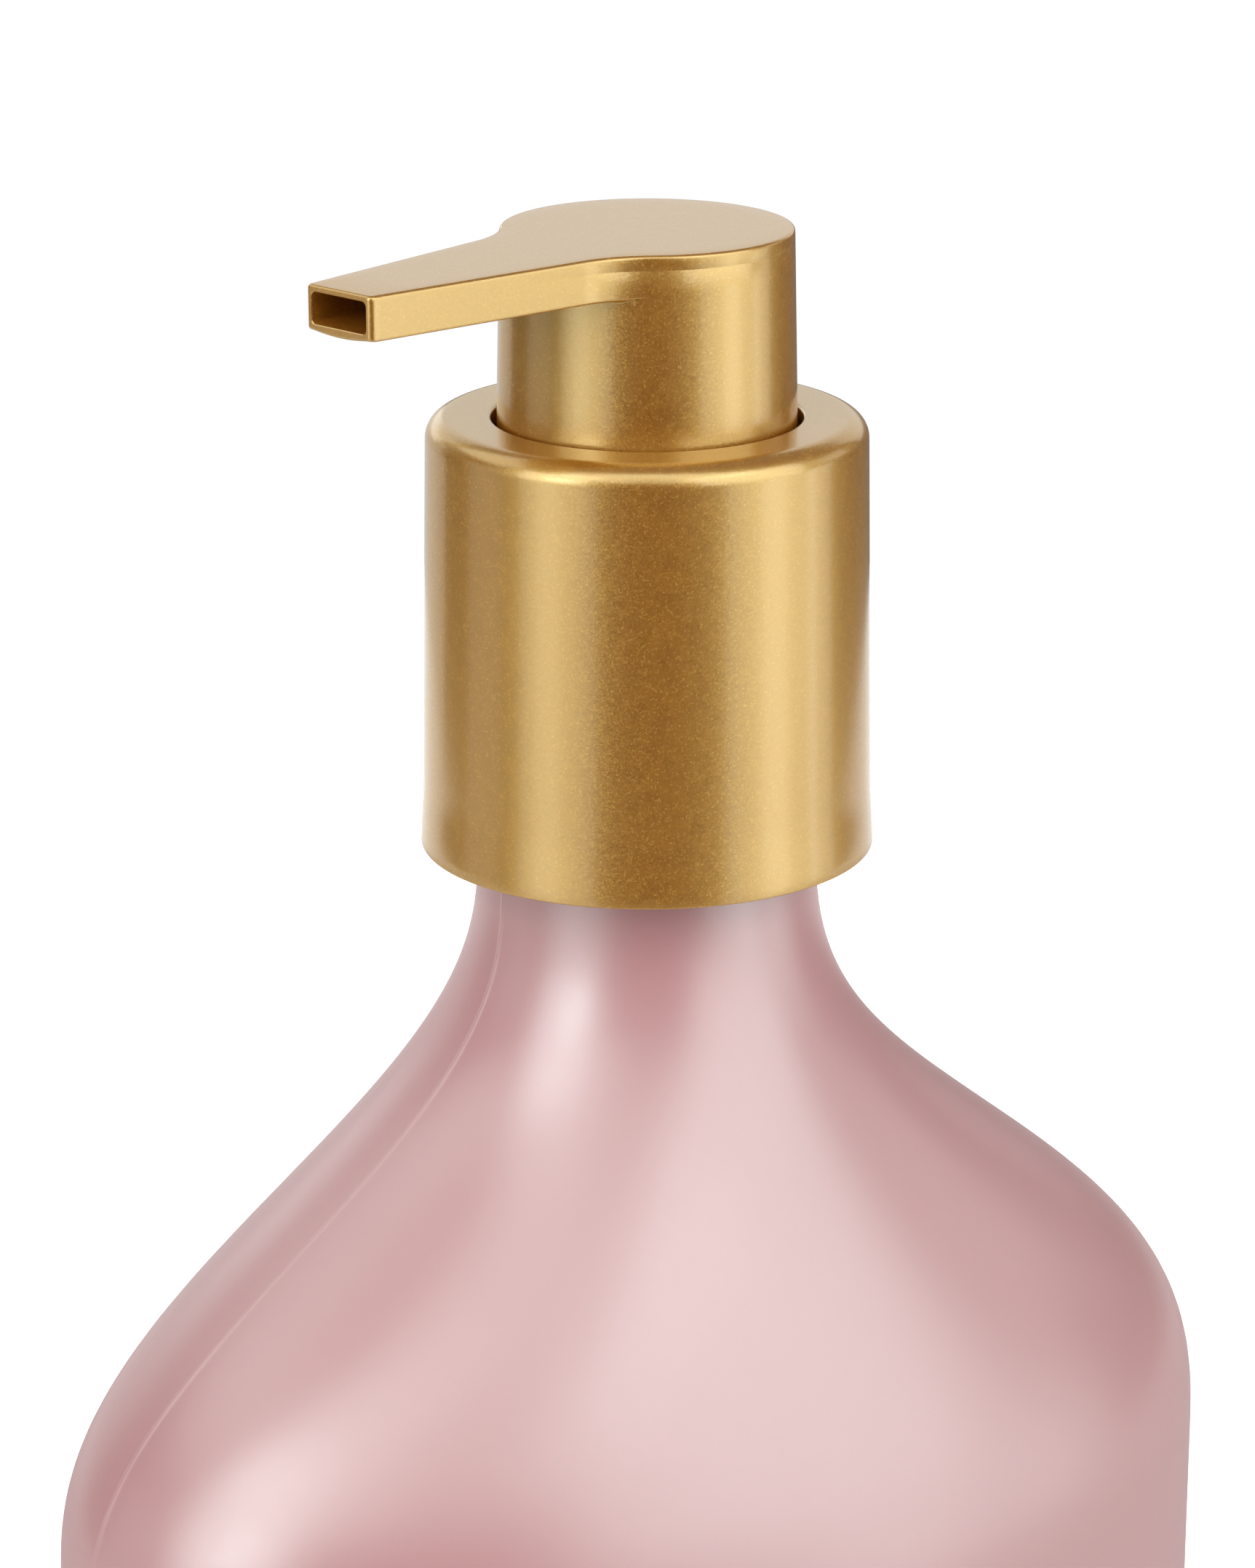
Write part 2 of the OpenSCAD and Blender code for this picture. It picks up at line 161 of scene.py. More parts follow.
def shade(piece, smooth_angle):
    """Smooth shading with sharp edges where faces meet at more than the angle."""
    mesh = piece.data
    bm = bmesh.new()
    bm.from_mesh(mesh)
    bmesh.ops.remove_doubles(bm, verts=bm.verts, dist=2e-7)
    bmesh.ops.recalc_face_normals(bm, faces=bm.faces)
    limit = math.radians(smooth_angle)
    for edge in bm.edges:
        edge.smooth = not (edge.is_manifold and edge.calc_face_angle(0) > limit)
    for face in bm.faces:
        face.smooth = True
    bm.to_mesh(mesh)
    bm.free()


def skin_faces(rows, columns, closed_rows=False):
    """Quads of a grid of rows by columns whose columns close on themselves."""
    faces = []
    for i in range(rows if closed_rows else rows - 1):
        below, above = i * columns, ((i + 1) % rows) * columns
        for j in range(columns):
            k = (j + 1) % columns
            faces.append((below + j, below + k, above + k, above + j))
    return faces


def closed_skin(rows, first_z, last_z):
    """Points and faces of a skin over rows, with a fan to the axis at each end's height."""
    columns = len(rows[0])
    points = [p for row in rows for p in row]
    faces = skin_faces(len(rows), columns)
    first, last = len(points), len(points) + 1
    points += [(0, 0, first_z), (0, 0, last_z)]
    last_row = (len(rows) - 1) * columns
    for j in range(columns):
        k = (j + 1) % columns
        faces.append((first, k, j))
        faces.append((last, last_row + j, last_row + k))
    return points, faces


def lathe(name, profile, columns=192, smooth_angle=40):
    """A ring turned about the axis from a closed profile of (radius, height) points."""
    angles = np.linspace(0, 2 * math.pi, columns, endpoint=False)
    points = [(r * math.cos(a), r * math.sin(a), z) for r, z in profile for a in angles]
    return new_piece(name, points, skin_faces(len(profile), columns, True), smooth_angle)


def arc(centre, radius, start, stop, count):
    """Points of an arc in degrees, both ends included."""
    angles = np.radians(np.linspace(start, stop, count))
    return [(centre[0] + radius * math.cos(a), centre[1] + radius * math.sin(a)) for a in angles]


# ---------------------------------------------------------------- material helpers
class Nodes:
    """Short calls for building one procedural material."""

    def __init__(self, name):
        self.material = bpy.data.materials.new(name)
        self.material.use_nodes = True
        self.tree = self.material.node_tree
        self.shader = self.tree.nodes["Principled BSDF"]
        self.place = self.add("ShaderNodeTexCoord").outputs["Object"]

    def add(self, kind, **settings):
        node = self.tree.nodes.new(kind)
        for key, value in settings.items():
            setattr(node, key, value)
        return node

    def join(self, source, target):
        self.tree.links.new(source, target)

    def set(self, **values):
        for key, value in values.items():
            self.shader.inputs[key.replace("_", " ")].default_value = value

    def noise(self, scale, detail=3.0, roughness=0.5, stretch=None):
        """Noise of that many cells a metre."""
        node = self.add("ShaderNodeTexNoise")
        node.inputs["Scale"].default_value = scale
        node.inputs["Detail"].default_value = detail
        node.inputs["Roughness"].default_value = roughness
        if stretch:
            mapping = self.add("ShaderNodeMapping")
            mapping.inputs["Scale"].default_value = stretch
            self.join(self.place, mapping.inputs["Vector"])
            self.join(mapping.outputs["Vector"], node.inputs["Vector"])
        else:
            self.join(self.place, node.inputs["Vector"])
        return node.outputs["Fac"]

    def cells(self, scale):
        """Voronoi cells, that many a metre."""
        node = self.add("ShaderNodeTexVoronoi")
        node.inputs["Scale"].default_value = scale
        self.join(self.place, node.inputs["Vector"])
        return node

    def range(self, value, low, high, to_low=0.0, to_high=1.0):
        """A value's range mapped to another, held at both ends."""
        node = self.add("ShaderNodeMapRange")
        self.join(value, node.inputs["Value"])
        for key, number in (("From Min", low), ("From Max", high), ("To Min", to_low), ("To Max", to_high)):
            node.inputs[key].default_value = number
        return node.outputs["Result"]

    def mix(self, factor, colour_a, colour_b):
        """Colour between two colours, each a tuple or a socket."""
        node = self.add("ShaderNodeMix", data_type="RGBA")
        self.join(factor, node.inputs["Factor"])
        for socket, value in ((node.inputs[6], colour_a), (node.inputs[7], colour_b)):
            if isinstance(value, tuple):
                socket.default_value = (*value, 1.0)
            else:
                self.join(value, socket)
        return node.outputs[2]

    def math(self, operation, a, b):
        """A calculation on a socket and a number or another socket."""
        node = self.add("ShaderNodeMath", operation=operation)
        self.join(a, node.inputs[0])
        if isinstance(b, float):
            node.inputs[1].default_value = b
        else:
            self.join(b, node.inputs[1])
        return node.outputs[0]

    def bump(self, height, distance, strength):
        """A normal from a height, where the full height is a distance in metres."""
        node = self.add("ShaderNodeBump")
        node.inputs["Strength"].default_value = strength
        node.inputs["Distance"].default_value = distance
        self.join(height, node.inputs["Height"])
        return node.outputs["Normal"]

    def tilted(self, cell, amount):
        """The surface's normal, leaning by a small amount that each cell's colour gives."""
        lean = self.add("ShaderNodeVectorMath", operation="SUBTRACT")
        self.join(cell, lean.inputs[0])
        lean.inputs[1].default_value = (0.5, 0.5, 0.5)
        small = self.add("ShaderNodeVectorMath", operation="SCALE")
        small.inputs["Scale"].default_value = amount
        self.join(lean.outputs[0], small.inputs[0])
        leaning = self.add("ShaderNodeVectorMath", operation="ADD")
        self.join(self.add("ShaderNodeNewGeometry").outputs["Normal"], leaning.inputs[0])
        self.join(small.outputs[0], leaning.inputs[1])
        unit = self.add("ShaderNodeVectorMath", operation="NORMALIZE")
        self.join(leaning.outputs[0], unit.inputs[0])
        return unit.outputs[0]


def finish_on(piece, material):
    """Gives a piece its one material."""
    piece.data.materials.clear()
    piece.data.materials.append(material)


# ---------------------------------------------------------------- materials
def gold_coat():
    """Sprayed gold: fine metal flake in an amber lacquer under a glossy clear coat."""
    m = Nodes("gold_flake_coat")
    cloud = m.noise(900, 4.0, 0.6)
    grain = m.cells(9500)
    amber = m.mix(m.range(cloud, 0.3, 0.7), (0.28, 0.084, 0.004), (0.33, 0.106, 0.005))
    # single flakes are darker or lighter than the lacquer, more or less polished, and tilted
    dull = m.mix(m.range(grain.outputs["Color"], 0.0, 0.35, 0.25, 0.0), amber, (0.12, 0.03, 0.001))
    flake = m.range(grain.outputs["Color"], 0.7, 0.95, 0.0, 0.45)
    m.join(m.mix(flake, dull, (0.72, 0.38, 0.07)), m.shader.inputs["Base Color"])
    m.set(Metallic=0.0, IOR=4.2, Specular_Tint=(0.97, 0.775, 0.28, 1.0))
    polish = m.range(grain.outputs["Color"], 0.0, 1.0, -0.04, 0.04)
    m.join(m.math("ADD", m.range(cloud, 0.2, 0.8, 0.34, 0.37), polish), m.shader.inputs["Roughness"])
    m.join(m.tilted(grain.outputs["Color"], 0.055), m.shader.inputs["Normal"])
    m.set(Coat_Weight=1.0, Coat_Roughness=0.16, Coat_IOR=1.52)
    # the clear coat keeps a faint orange peel
    m.join(m.bump(m.noise(1400, 2.0), 0.000004, 0.2), m.shader.inputs["Coat Normal"])
    return m.material


def pink_satin():
    """Frosted pink bottle wall: milky, soft sheen, faint flow marks, specks and rubs."""
    m = Nodes("bottle_pink_satin")
    flow = m.noise(28, 3.0, 0.5, (1.0, 1.0, 0.35))
    skin = m.noise(2600, 3.0, 0.6)
    base = m.mix(m.range(flow, 0.3, 0.7), (0.53, 0.256, 0.258), (0.56, 0.275, 0.277))
    speck = m.cells(420)
    dark = m.range(speck.outputs["Distance"], 0.03, 0.06, 1.0, 0.0)
    rare = m.math("GREATER_THAN", speck.outputs["Color"], 0.93)
    spot = m.math("MULTIPLY", m.math("MULTIPLY", dark, rare), 0.35)
    m.join(m.mix(spot, base, (0.30, 0.13, 0.13)), m.shader.inputs["Base Color"])
    rub = m.range(m.noise(55, 5.0, 0.7), 0.45, 0.75, 0.0, 0.04)
    m.join(m.math("ADD", m.range(skin, 0.3, 0.7, 0.32, 0.36), rub), m.shader.inputs["Roughness"])
    m.join(m.bump(skin, 0.000004, 0.3), m.shader.inputs["Normal"])
    m.set(IOR=2.45, Specular_Tint=(0.83, 1.0, 0.98, 1.0), Subsurface_Weight=0.1,
          Subsurface_Scale=0.003)
    m.shader.inputs["Subsurface Radius"].default_value = (1.0, 0.45, 0.4)
    return m.material


def moulded_plastic(name, colour, roughness, subsurface=0.2, clear=0.0):
    """Plain moulded part: faint sink marks and a fine moulded grain."""
    m = Nodes(name)
    tone = m.range(m.noise(120, 3.0), 0.3, 0.7)
    deep = tuple(c * 0.94 for c in colour)
    m.join(m.mix(tone, deep, colour), m.shader.inputs["Base Color"])
    grain = m.noise(3000, 2.0)
    m.join(m.range(grain, 0.3, 0.7, roughness - 0.05, roughness + 0.05), m.shader.inputs["Roughness"])
    m.join(m.bump(grain, 0.00002, 0.3), m.shader.inputs["Normal"])
    m.set(IOR=1.5, Subsurface_Weight=subsurface, Subsurface_Scale=0.002,
          Transmission_Weight=clear)
    return m.material


def drawn_steel():
    """Bright steel with fine draw marks."""
    m = Nodes("drawn_steel")
    marks = m.noise(1500, 4.0, 0.6, (1.0, 1.0, 0.2))
    m.join(m.mix(m.range(marks, 0.3, 0.7), (0.60, 0.61, 0.63), (0.72, 0.73, 0.75)),
           m.shader.inputs["Base Color"])
    m.join(m.range(marks, 0.3, 0.7, 0.18, 0.32), m.shader.inputs["Roughness"])
    m.join(m.bump(marks, 0.00001, 0.2), m.shader.inputs["Normal"])
    m.set(Metallic=1.0)
    return m.material


# ---------------------------------------------------------------- bottle
def seam_angles():
    """Angles round the oval, close together beside the two mould seams."""
    near = [0.0, 0.1, 0.2, 0.3, 0.42, 0.56, 0.75, 1.0, 1.4, 2.0, 3.0]
    quarter = near + list(np.linspace(4.5, 90, 36))
    half = quarter + [180 - a for a in reversed(quarter[:-1])]
    return np.radians(half + [a + 180 for a in half[1:-1]])


def oval_row(angles, half_w, half_d, z, seam=0.0):
    """One ring of the wall. The seam stands proud where the ring crosses the X axis."""
    row = []
    for a in angles:
        x, y = half_w * math.cos(a), half_d * math.sin(a)
        lift = seam * math.exp(-(y / SEAM_W) ** 2)
        row.append((x + math.copysign(lift, math.cos(a)), y, z))
    return row


def shoulder_oval(u):
    """Half width, half depth and height of the shoulder, from the neck (0) to its foot (1)."""
    half_w = NECK_R + (HALF_W - NECK_R) * smoother(u)
    half_d = NECK_R + (HALF_D - NECK_R) * smooth(u)
    return half_w, half_d, SHOULDER_TOP - SHOULDER_H * u


def body_row(angles, inset, z, share=1.0, seam=0.0):
    """A ring of the lower bottle, drawn in by an amount and then scaled."""
    return oval_row(angles, (HALF_W - inset) * share, (HALF_D - inset) * share, z, seam)


def foot_rows(angles):
    """Rings from the middle of the base over the standing ring to the foot of the straight wall."""
    hollow = BASE_EDGE_R + FOOT_W + FOOT_STEP_W
    rows = [body_row(angles, hollow + 0.2, FOOT_LIFT, share) for share in (0.25, 0.5, 0.75, 0.97)]
    for turn in np.radians(np.linspace(0, 90, 7)):
        inset, z = hollow - FOOT_STEP_W * math.sin(turn), FOOT_LIFT * math.cos(turn) ** 2
        rows.append(body_row(angles, inset, z))
    for turn in np.radians(np.linspace(0, 90, 13)):
        inset, z = BASE_EDGE_R * (1 - math.sin(turn)), BASE_EDGE_R * (1 - math.cos(turn))
        rows.append(body_row(angles, inset, z, seam=SEAM_PROUD * math.sin(turn)))
    return rows


def neck_rows(angles):
    """Rings up the neck, where the seam ends, and over its rim to the bore."""
    rows = [oval_row(angles, NECK_R, NECK_R, COLLAR_Z + z, SEAM_PROUD) for z in (1, 4)]
    rows.append(oval_row(angles, NECK_R, NECK_R, COLLAR_Z + 5))
    rows.append(oval_row(angles, NECK_R, NECK_R, NECK_TOP - RIM_R))
    rim = arc((NECK_R - RIM_R, NECK_TOP - RIM_R), RIM_R, 15, 90, 5)
    rim += arc((NECK_BORE_R + RIM_R, NECK_TOP - RIM_R), RIM_R, 90, 180, 5)
    return rows + [oval_row(angles, r, r, z) for r, z in rim]


def hollow_rows(angles):
    """Rings down the inside of the shoulder and round to the middle of the floor."""
    rows = []
    for u in np.linspace(0, 1, 30):
        half_w, half_d, z = shoulder_oval(u)
        draw_in = (NECK_R - NECK_BORE_R) * (1 - u) + WALL * u
        rows.append(oval_row(angles, half_w - draw_in, half_d - draw_in, z))
    inner_r = BASE_EDGE_R - WALL
    floor = FOOT_LIFT + WALL
    for turn in np.radians(np.linspace(90, 0, 8)):
        inset = WALL + inner_r * (1 - math.sin(turn))
        rows.append(body_row(angles, inset, floor + inner_r * (1 - math.cos(turn))))
    return rows + [body_row(angles, WALL + inner_r, floor, share) for share in (0.7, 0.35)]


def bottle_rows(angles):
    """Rings from the middle of the base up the outside, over the rim and down the inside."""
    rows = foot_rows(angles)
    for z in np.linspace(BASE_EDGE_R, SHOULDER_TOP - SHOULDER_H, 14)[1:-1]:
        rows.append(body_row(angles, 0, z, seam=SEAM_PROUD))
    for u in np.linspace(1, 0, 72):
        rows.append(oval_row(angles, *shoulder_oval(u), SEAM_PROUD))
    return rows + neck_rows(angles) + hollow_rows(angles)


def thread_ridge(points, faces):
    """Adds a closed thread ridge that fades into the neck at both ends."""
    steps = int(72 * THREAD_TURNS)
    fade = 10
    first = len(points)
    for i in range(steps + 1):
        a = THREAD_START + 2 * math.pi * THREAD_TURNS * i / steps
        mid = THREAD_FROM + THREAD_PITCH * THREAD_TURNS * i / steps
        grow = min(1.0, 0.1 + i / fade, 0.1 + (steps - i) / fade)
        top = THREAD_ROOT_R + (THREAD_CREST_R - THREAD_ROOT_R) * grow
        soft = top - 0.15 * grow
        flank = ((THREAD_ROOT_R, 0.85), (soft, 0.5), (top, 0.3))
        section = [(r, -dz) for r, dz in flank] + list(reversed(flank))
        points += [(r * math.cos(a), r * math.sin(a), mid + dz) for r, dz in section]
    sides = len(section)
    faces += [tuple(first + j for j in face) for face in skin_faces(steps + 1, sides)]
    faces.append(tuple(first + j for j in range(sides)))
    faces.append(tuple(first + sides * steps + j for j in reversed(range(sides))))


def make_bottle():
    angles = seam_angles()
    points, faces = closed_skin(bottle_rows(angles), FOOT_LIFT, FOOT_LIFT + WALL)
    thread_ridge(points, faces)
    piece = new_piece("bottle_wall", points, faces, 50)
    finish_on(piece, pink_satin())
    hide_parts("bottle")
    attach(piece, "bottle_body")


# ---------------------------------------------------------------- collar
def collar_outside():
    """Profile from the foot up the wall and over the top to the edge of the head's hole."""
    foot = COLLAR_Z + COLLAR_FOOT_R
    shoulder = COLLAR_TOP - COLLAR_ROUND_R
    flat_r = COLLAR_TOP_R - COLLAR_ROUND_R
    profile = arc((COLLAR_R - COLLAR_FOOT_R, foot + 0.02), COLLAR_FOOT_R, -85, 0, 6)
    # the foot flares slightly, then the wall draws in towards the top
    for share in np.linspace(0, 1, 40)[1:]:
        z = foot + (shoulder - foot) * share
        r = COLLAR_R - FLARE + (COLLAR_TOP_R - COLLAR_R + FLARE) * share
        profile.append((r + FLARE * smooth(max(0.0, 1 - (z - COLLAR_Z) / FLARE_H)), z))
    profile += arc((flat_r, shoulder), COLLAR_ROUND_R, 4, 90, 18)
    profile += [(r, COLLAR_TOP) for r in np.linspace(flat_r - 0.3, HOLE_R + HOLE_EDGE_R + 0.2, 4)]
    return profile + arc((HOLE_R + HOLE_EDGE_R, COLLAR_TOP - HOLE_EDGE_R), HOLE_EDGE_R, 90, 180, 8)


def collar_inside():
    """Profile down the lip round the hole, under the top and down the inside to the foot."""
    lip_r = HOLE_R + LIP_W
    lip_z = COLLAR_TOP - LIP_H
    ceiling = COLLAR_TOP - COLLAR_WALL
    bore_top_r = COLLAR_TOP_R - COLLAR_WALL
    bore_r = COLLAR_R - COLLAR_WALL
    chamfer = 0.2
    return [(HOLE_R, lip_z + chamfer), (HOLE_R + chamfer, lip_z), (lip_r - chamfer, lip_z),
            (lip_r, lip_z + chamfer), (lip_r, ceiling), (bore_top_r - 1, ceiling),
            (bore_top_r, COLLAR_TOP - COLLAR_ROUND_R - 0.5), (bore_r - 0.15, COLLAR_Z + 0.9),
            (bore_r, COLLAR_Z + 0.02)]


def make_collar(material):
    piece = lathe("collar_skin", collar_outside() + collar_inside(), 256)
    finish_on(piece, material)
    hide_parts("collar_shell")
    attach(piece, "closure")


# ---------------------------------------------------------------- head
def plan_outline(inset):
    """Half of the head's plan from the spout's tip round to the back, drawn in by an amount.

    The points keep their order and number for every inset, so that outlines can be joined."""
    normal = np.array([math.sin(SPOUT_TAPER), math.cos(SPOUT_TAPER)])
    along = np.array([math.cos(SPOUT_TAPER), -math.sin(SPOUT_TAPER)])
    side = SPOUT_REACH * normal[0] + SPOUT_TIP_W / 2 * normal[1]
    reach = math.sqrt((HEAD_R + SPOUT_FILLET_R) ** 2 - (side + SPOUT_FILLET_R) ** 2)
    fillet_centre = (side + SPOUT_FILLET_R) * normal + reach * along
    fillet_r = SPOUT_FILLET_R + inset
    # tip corner: an arc tangent to the end face and to the spout's side
    corner_r = TIP_CORNER_R - inset
    corner_x = SPOUT_REACH - TIP_CORNER_R
    corner_centre = np.array([corner_x, (side - TIP_CORNER_R - corner_x * normal[0]) / normal[1]])

    def sweep(centre, radius, angles):
        return [(centre[0] + radius * math.cos(a), centre[1] + radius * math.sin(a)) for a in angles]

    points = [(SPOUT_REACH - inset, y) for y in np.linspace(0, corner_centre[1], 9)[:-1]]
    points += sweep(corner_centre, corner_r, np.linspace(0, math.pi / 2 - SPOUT_TAPER, 7))
    start = corner_centre + corner_r * normal
    stop = fillet_centre - fillet_r * normal
    points += [tuple(start + (stop - start) * share) for share in np.linspace(0, 1, 40)[1:]]
    fillet_from = math.atan2(-normal[1], -normal[0])
    fillet_to = math.atan2(-fillet_centre[1], -fillet_centre[0])
    points += sweep(fillet_centre, fillet_r, np.linspace(fillet_from, fillet_to, 40)[1:])
    head_from = math.atan2(fillet_centre[1], fillet_centre[0])
    points += sweep((0, 0), HEAD_R - inset, np.linspace(head_from, math.pi, 76)[1:])
    return np.array(points)


def whole_outline(inset):
    """The head's plan, with the half mirrored."""
    half = plan_outline(inset)
    mirrored = half[1:-1][::-1] * [1, -1]
    return np.concatenate([half, mirrored])


def skirt_radius(z):
    """Radius of the head's wall, which widens a little downwards."""
    return HEAD_FOOT_R + (HEAD_R - HEAD_FOOT_R) * (z - HEAD_FOOT) / (HEAD_TOP - HEAD_FOOT)


def level(points, z):
    """A ring of plan points at one height, or at a height each."""
    heights = np.broadcast_to(z, len(points))
    return [(x, y, h) for (x, y), h in zip(points, heights)]


def head_top_rows():
    """Rings over the flat top and its bevelled edge."""
    rows = [level(whole_outline(TOP_BEVEL) * share, HEAD_TOP) for share in (0.3, 0.6, 0.85)]
    for turn in np.radians(np.linspace(90, 0, 8)):
        inset = TOP_BEVEL * (1 - math.cos(turn))
        rows.append(level(whole_outline(inset), HEAD_TOP - TOP_BEVEL * (1 - math.sin(turn))))
    return rows


def head_side_rows(outer, radii, ray):
    """Rings down the spout's sides, round its lower edge and in along its underside."""
    rows = []
    # a shallow line left by the mould runs below the top edge and fades out along the spout
    on_head = smooth(np.clip(1 - (radii - HEAD_R) / 12.0, 0, 1))[:, None]
    for depth, inset in ((0.94, 0.0), (1.0, 0.02), (1.06, 0.02), (1.12, 0.0)):
        draft = skirt_radius(HEAD_TOP - depth) - HEAD_R - inset
        rows.append(level(outer + ray * on_head * draft, HEAD_TOP - depth * (0.5 + 0.5 * on_head[:, 0])))
    # the lower edge of the spout's end face bows down in the middle
    end_half = SPOUT_TIP_W / 2 - 0.5
    at_end = outer[:, 0] > SPOUT_REACH - 0.01
    bow = np.where(at_end, 0.2 * np.clip(1 - (outer[:, 1] / end_half) ** 2, 0, 1), 0.0)
    edge_z = SLAB_Z + LOWER_ROUND - bow
    base = skirt_radius(SLAB_Z + LOWER_ROUND)
    drafted = outer + ray * on_head * (base - HEAD_R)
    rows.append(level(drafted, edge_z))
    # lower edge of the spout: the rounding fades out where the spout joins the head
    radii = np.hypot(drafted[:, 0], drafted[:, 1])
    overhang = radii - base
    room = np.minimum(overhang, LOWER_ROUND)
    for turn in np.radians(np.linspace(0, 90, 6))[1:]:
        drawn = (radii - room * (1 - math.cos(turn)))[:, None] * ray
        rows.append(level(drawn, edge_z - room * math.sin(turn)))
    # the underside meets the head's wall in a small fillet
    gap = np.minimum(JOIN_FILLET, np.maximum(overhang - room, 0))
    for turn in np.radians(np.linspace(0, 90, 6)):
        r = np.where(overhang > 1e-6, base + gap * (1 - math.sin(turn)), base)
        rows.append(level(ray * r[:, None], edge_z - room - gap * (1 - math.cos(turn))))
    return rows


def head_skirt_rows(ray):
    """Rings down the head's wall, round its foot and up the hollow to the stem's seat."""
    profile = [(skirt_radius(z), z) for z in np.linspace(SLAB_Z - 0.6, HEAD_FOOT + 0.3, 9)]
    profile += arc((HEAD_FOOT_R - 0.25, HEAD_FOOT + 0.25), 0.25, -20, -90, 4)
    profile += [(SKIRT_BORE_R + 0.15, HEAD_FOOT), (SKIRT_BORE_R, HEAD_FOOT + 0.15), (SKIRT_BORE_R, SLAB_Z),
                (HUB_R, SLAB_Z), (HUB_R, HUB_FOOT + 0.2), (HUB_R - 0.2, HUB_FOOT), (STEM_R + 0.2, HUB_FOOT),
                (STEM_R, HUB_FOOT + 0.2), (STEM_R, STEM_TOP + 0.05), (THROAT_R, STEM_TOP + 0.05),
                (THROAT_R, CHANNEL_MIDDLE)]
    return [level(ray * r, z) for r, z in profile]


def head_rows():
    """Rings of the head from the middle of the top, down the outside and up the hollow."""
    outer = whole_outline(0)
    radii = np.hypot(outer[:, 0], outer[:, 1])
    ray = outer / radii[:, None]
    return head_top_rows() + head_side_rows(outer, radii, ray) + head_skirt_rows(ray)


def channel_cutter():
    """The rounded slot inside the spout, flared a little at its mouth."""
    corner = 0.22

    def slot_row(x, grow):
        w, h, r = CHANNEL_W / 2 + grow, CHANNEL_H / 2 + grow, corner + grow
        y, z = w - r, h - r
        outline = []
        for centre, first in (((y, z), 0), ((-y, z), 90), ((-y, -z), 180), ((y, -z), 270)):
            outline += arc(centre, r, first, first + 90, 6)
        return [(x, across, CHANNEL_MIDDLE + up) for across, up in outline]

    flare = ((-2.5, 0.0), (-0.4, 0.13), (-0.06, 0.15), (0.05, 0.27), (2, 0.27))
    rows = [slot_row(0.0, 0.0)] + [slot_row(SPOUT_REACH + past, grow) for past, grow in flare]
    columns = len(rows[0])
    points = [p for row in rows for p in row]
    faces = skin_faces(len(rows), columns)
    faces.append(tuple(reversed(range(columns))))
    faces.append(tuple((len(rows) - 1) * columns + j for j in range(columns)))
    return new_piece("channel_cutter", points, faces, 30)


def make_head(material):
    points, faces = closed_skin(head_rows(), HEAD_TOP, CHANNEL_MIDDLE)
    piece = new_piece("head_skin", points, faces, HEAD_SHARP)
    cutter = channel_cutter()
    cut = piece.modifiers.new("channel", "BOOLEAN")
    cut.operation = "DIFFERENCE"
    cut.solver = "EXACT"
    cut.object = cutter
    bake_modifiers(piece)
    bpy.data.objects.remove(cutter)
    piece.data.transform(Matrix.Rotation(SPOUT_YAW, 4, "Z"))
    shade(piece, HEAD_SHARP)
    finish_on(piece, material)
    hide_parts("actuator_head")
    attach(piece, "plunger")


def bake_modifiers(piece):
    """Replaces a piece's mesh by the result of its modifiers."""
    graph = bpy.context.evaluated_depsgraph_get()
    mesh = bpy.data.meshes.new_from_object(piece.evaluated_get(graph))
    piece.modifiers.clear()
    piece.data = mesh


# ---------------------------------------------------------------- spring
def make_spring(material):
    """The return spring as a smooth coil with closed ends."""
    sides, per_turn, turns = 12, 40, 9
    closed_end, closed_rise = 0.1, 0.06
    wire = SPRING_WIRE_R
    coil_r = spring_high.x / MM - wire
    low = spring_low.z / MM + wire
    rise = spring_high.z / MM - wire - low
    steps = turns * per_turn
    points = []
    for i in range(steps + 1):
        share = i / steps
        open_part = min(1.0, max(0.0, (share - closed_end) / (1 - 2 * closed_end)))
        z = low + rise * (closed_rise * share + (1 - closed_rise) * open_part)
        a = 2 * math.pi * i / per_turn
        for j in range(sides):
            b = 2 * math.pi * j / sides
            r = coil_r + wire * math.cos(b)
            points.append((r * math.cos(a), r * math.sin(a), z + wire * math.sin(b)))
    faces = skin_faces(steps + 1, sides)
    faces.append(tuple(reversed(range(sides))))
    faces.append(tuple(steps * sides + j for j in range(sides)))
    piece = new_piece("spring_coil", points, faces, 60)
    finish_on(piece, material)
    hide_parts("return_spring")
    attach(piece, "pump_engine")
    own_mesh(piece)


# ---------------------------------------------------------------- CAD nodes that stay
def dress_nodes(steel):
    """Materials for the parts that show as the CAD has them."""
    white = moulded_plastic("white_moulding", (0.80, 0.80, 0.77), 0.38)
    milky = moulded_plastic("milky_moulding", (0.80, 0.83, 0.84), 0.30, 0.3, 0.25)
    waxy = moulded_plastic("waxy_moulding", (0.84, 0.84, 0.81), 0.5, 0.35)
    finishes = {
        "white_plastic": (white, ["closure_cap", "chaplet", "ball_cage", "piston_rod", "stem"]),
        "natural_plastic": (milky, ["pump_housing", "dip_tube"]),
        "soft_white": (waxy, ["neck_gasket", "stem_wiper", "piston"]),
        "steel": (steel, ["inlet_ball", "outlet_ball"]),
    }
    for slot, (material, names) in finishes.items():
        for name in names:
            finish_on(nodes[name], material)


